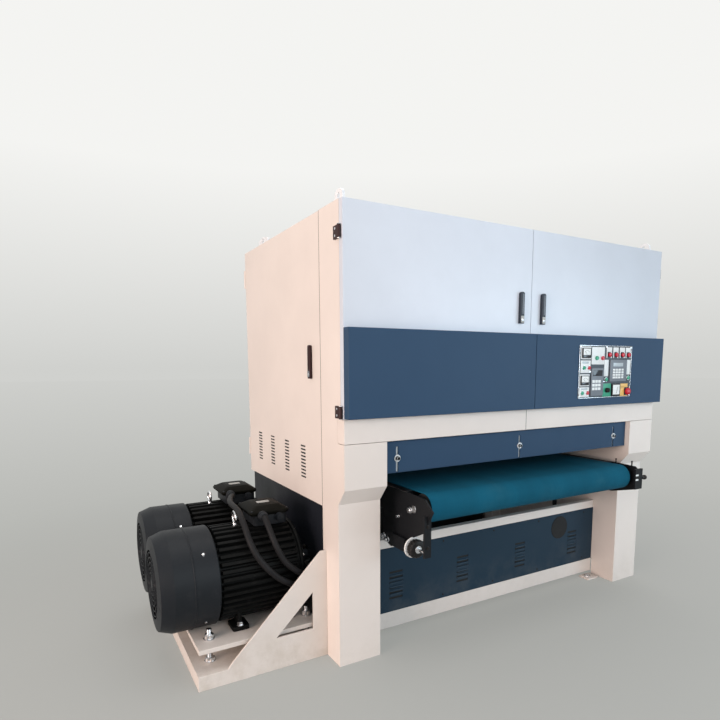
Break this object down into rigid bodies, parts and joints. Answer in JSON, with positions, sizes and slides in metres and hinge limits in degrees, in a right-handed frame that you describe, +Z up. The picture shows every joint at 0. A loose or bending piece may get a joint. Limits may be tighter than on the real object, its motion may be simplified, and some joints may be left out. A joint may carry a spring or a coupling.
{
  "type": "wide belt sander",
  "caption": "Cabinet sander with two overhead abrasive-belt heads, a rising feed-belt table, hinged doors, a control plate and two side motors on a floor mount.",
  "frame": {"origin": "centre of the front left leg's sole, on the floor", "axes": "+X to the machine's right across its width, +Y from the infeed front to the rear, +Z up"},
  "size_m": [2.839, 1.467, 2.11],
  "materials": {
    "cream_paint": "semi-gloss powder coat",
    "pale_door": "semi-gloss powder coat",
    "navy_paint": "fine textured powder coat",
    "black_paint": "satin black paint",
    "motor_black": "satin black enamel on a finned casting",
    "teal_belt": "matt ribbed rubber",
    "ground_steel": "ground",
    "roller_alloy": "turned",
    "drum_rubber": "ground rubber covering",
    "abrasive": "coated abrasive cloth",
    "drive_rubber": "matt",
    "black_plastic": "moulded",
    "panel_grey": "satin",
    "red_plastic": "glossy",
    "lead_rubber": "matt sheath"
  },
  "bodies": {
    "frame": {"base_frame": "cream_paint", "left_side_frame": "cream_paint", "right_side_frame": "cream_paint", "front_beam": "cream_paint", "guard_rail": "ground_steel", "lower_front_panel": "navy_paint", "rear_cover": "cream_paint", "roof_panel": "cream_paint", "left_lower_panel": "navy_paint", "right_lower_panel": "navy_paint", "front_left_hinge_lower": "black_paint", "front_left_hinge_upper": "black_paint", "front_right_hinge_lower": "black_paint", "front_right_hinge_upper": "black_paint", "motor_mount": "cream_paint", "head_frame_front": "cream_paint", "head_frame_rear": "cream_paint", "abrasive_belt_front": "abrasive", "abrasive_belt_rear": "abrasive", "motor_front": "motor_black", "motor_rear": "motor_black", "fan_cover_front": "motor_black", "fan_cover_rear": "motor_black", "drive_belt_front": "drive_rubber", "drive_belt_rear": "drive_rubber", "motor_lead_front": "lead_rubber", "motor_lead_rear": "lead_rubber"},
    "front_left_door": {"front_left_door": "pale_door", "front_left_apron": "navy_paint"},
    "front_right_door": {"front_right_door": "pale_door", "front_right_apron": "navy_paint", "control_panel": "panel_grey"},
    "left_side_door": {"left_side_door": "cream_paint"},
    "right_side_door": {"right_side_door": "cream_paint"},
    "front_left_handle": {"front_left_handle": "black_plastic"},
    "front_right_handle": {"front_right_handle": "black_plastic"},
    "left_side_handle": {"left_side_handle": "black_plastic"},
    "right_side_handle": {"right_side_handle": "black_plastic"},
    "stop_button": {"stop_button": "red_plastic"},
    "front_guard": {"front_guard": "navy_paint"},
    "feed_table": {"table_bed": "black_paint", "left_cheek": "black_paint", "right_cheek": "black_paint", "feed_belt": "teal_belt"},
    "feed_roller_front": {"feed_roller_front": "drum_rubber"},
    "feed_roller_rear": {"feed_roller_rear": "drum_rubber"},
    "tracking_knob": {"tracking_knob": "black_plastic"},
    "push_button_1": {"push_button_1": "red_plastic"},
    "push_button_2": {"push_button_2": "red_plastic"},
    "push_button_3": {"push_button_3": "red_plastic"},
    "push_button_4": {"push_button_4": "red_plastic"},
    "contact_drum_front": {"contact_drum_front": "drum_rubber"},
    "tension_roller_front": {"tension_roller_front": "roller_alloy"},
    "rotor_front": {"rotor_front": "roller_alloy"},
    "contact_drum_rear": {"contact_drum_rear": "drum_rubber"},
    "tension_roller_rear": {"tension_roller_rear": "roller_alloy"},
    "rotor_rear": {"rotor_rear": "roller_alloy"},
    "pressure_roller_front": {"pressure_roller_front": "drum_rubber"},
    "pressure_roller_middle": {"pressure_roller_middle": "drum_rubber"},
    "pressure_roller_rear": {"pressure_roller_rear": "drum_rubber"}
  },
  "joints": [
    {"name": "front_left_door_hinge", "type": "hinge", "parent": "frame", "child": "front_left_door", "pos_m": [-0.113, -0.126, 1.1165], "axis": [0, 0, -1], "range_deg": [0, 100]},
    {"name": "front_right_door_hinge", "type": "hinge", "parent": "frame", "child": "front_right_door", "pos_m": [2.013, -0.126, 1.1165], "axis": [0, 0, 1], "range_deg": [0, 100]},
    {"name": "left_side_door_hinge", "type": "hinge", "parent": "frame", "child": "left_side_door", "pos_m": [-0.105, 1.126, 0.704], "axis": [0, 0, -1], "range_deg": [0, 100]},
    {"name": "right_side_door_hinge", "type": "hinge", "parent": "frame", "child": "right_side_door", "pos_m": [2.005, 1.126, 0.704], "axis": [0, 0, 1], "range_deg": [0, 100]},
    {"name": "front_left_handle_turn", "type": "hinge", "parent": "front_left_door", "child": "front_left_handle", "pos_m": [0.876, -0.14, 1.561], "axis": [0, 1, 0], "range_deg": [-90, 0]},
    {"name": "front_right_handle_turn", "type": "hinge", "parent": "front_right_door", "child": "front_right_handle", "pos_m": [1.024, -0.14, 1.561], "axis": [0, 1, 0], "range_deg": [0, 90]},
    {"name": "left_side_handle_turn", "type": "hinge", "parent": "left_side_door", "child": "left_side_handle", "pos_m": [-0.105, 0.181, 1.299], "axis": [1, 0, 0], "range_deg": [-90, 0]},
    {"name": "right_side_handle_turn", "type": "hinge", "parent": "right_side_door", "child": "right_side_handle", "pos_m": [2.005, 0.181, 1.299], "axis": [1, 0, 0], "range_deg": [-90, 0]},
    {"name": "push_button_1_press", "type": "slide", "parent": "front_right_door", "child": "push_button_1", "axis": [0, 1, 0], "range_m": [0, 0.004], "stiffness_N_per_m": 400},
    {"name": "push_button_2_press", "type": "slide", "parent": "front_right_door", "child": "push_button_2", "axis": [0, 1, 0], "range_m": [0, 0.004], "stiffness_N_per_m": 400},
    {"name": "push_button_3_press", "type": "slide", "parent": "front_right_door", "child": "push_button_3", "axis": [0, 1, 0], "range_m": [0, 0.004], "stiffness_N_per_m": 400},
    {"name": "push_button_4_press", "type": "slide", "parent": "front_right_door", "child": "push_button_4", "axis": [0, 1, 0], "range_m": [0, 0.004], "stiffness_N_per_m": 400},
    {"name": "stop_button_press", "type": "slide", "parent": "front_right_door", "child": "stop_button", "axis": [0, 1, 0], "range_m": [0, 0.004], "stiffness_N_per_m": 600},
    {"name": "guard_height", "type": "slide", "parent": "frame", "child": "front_guard", "axis": [0, 0, 1], "range_m": [-0.045, 0.006]},
    {"name": "table_height", "type": "slide", "parent": "frame", "child": "feed_table", "axis": [0, 0, 1], "range_m": [-0.07, 0.083]},
    {"name": "feed_roller_front_spin", "type": "hinge", "parent": "feed_table", "child": "feed_roller_front", "pos_m": [0.209, -0.198, 0.70841], "axis": [1, 0, 0], "continuous": true},
    {"name": "feed_roller_rear_spin", "type": "hinge", "parent": "feed_table", "child": "feed_roller_rear", "pos_m": [0.209, 1.06, 0.70841], "axis": [1, 0, 0], "continuous": true},
    {"name": "tracking_knob_turn", "type": "hinge", "parent": "feed_table", "child": "tracking_knob", "pos_m": [0.213, -0.14, 0.532], "axis": [0, 1, 0], "range_deg": [-720, 720]},
    {"name": "contact_drum_front_spin", "type": "hinge", "parent": "frame", "child": "contact_drum_front", "pos_m": [0.27, 0.28, 0.96505], "axis": [1, 0, 0], "continuous": true},
    {"name": "tension_roller_front_spin", "type": "hinge", "parent": "frame", "child": "tension_roller_front", "pos_m": [0.27, 0.28, 1.62], "axis": [1, 0, 0], "continuous": true},
    {"name": "rotor_front_spin", "type": "hinge", "parent": "frame", "child": "rotor_front", "pos_m": [-0.105, 0.336, 0.39], "axis": [1, 0, 0], "continuous": true},
    {"name": "contact_drum_rear_spin", "type": "hinge", "parent": "frame", "child": "contact_drum_rear", "pos_m": [0.27, 0.72, 0.96505], "axis": [1, 0, 0], "continuous": true},
    {"name": "tension_roller_rear_spin", "type": "hinge", "parent": "frame", "child": "tension_roller_rear", "pos_m": [0.27, 0.72, 1.62], "axis": [1, 0, 0], "continuous": true},
    {"name": "rotor_rear_spin", "type": "hinge", "parent": "frame", "child": "rotor_rear", "pos_m": [-0.105, 0.81, 0.39], "axis": [1, 0, 0], "continuous": true},
    {"name": "pressure_roller_front_spin", "type": "hinge", "parent": "frame", "child": "pressure_roller_front", "pos_m": [0.27, 0.13, 0.8925], "axis": [1, 0, 0], "continuous": true},
    {"name": "pressure_roller_middle_spin", "type": "hinge", "parent": "frame", "child": "pressure_roller_middle", "pos_m": [0.27, 0.5, 0.8925], "axis": [1, 0, 0], "continuous": true},
    {"name": "pressure_roller_rear_spin", "type": "hinge", "parent": "frame", "child": "pressure_roller_rear", "pos_m": [0.27, 0.88, 0.8925], "axis": [1, 0, 0], "continuous": true}
  ],
  "couplings": [
    {"joint": "feed_roller_rear_spin", "follows": "feed_roller_front_spin", "ratio": 1},
    {"joint": "tension_roller_front_spin", "follows": "contact_drum_front_spin", "ratio": 1.332},
    {"joint": "rotor_front_spin", "follows": "contact_drum_front_spin", "ratio": 0.88889},
    {"joint": "tension_roller_rear_spin", "follows": "contact_drum_rear_spin", "ratio": 1.332},
    {"joint": "rotor_rear_spin", "follows": "contact_drum_rear_spin", "ratio": 0.88889}
  ]
}
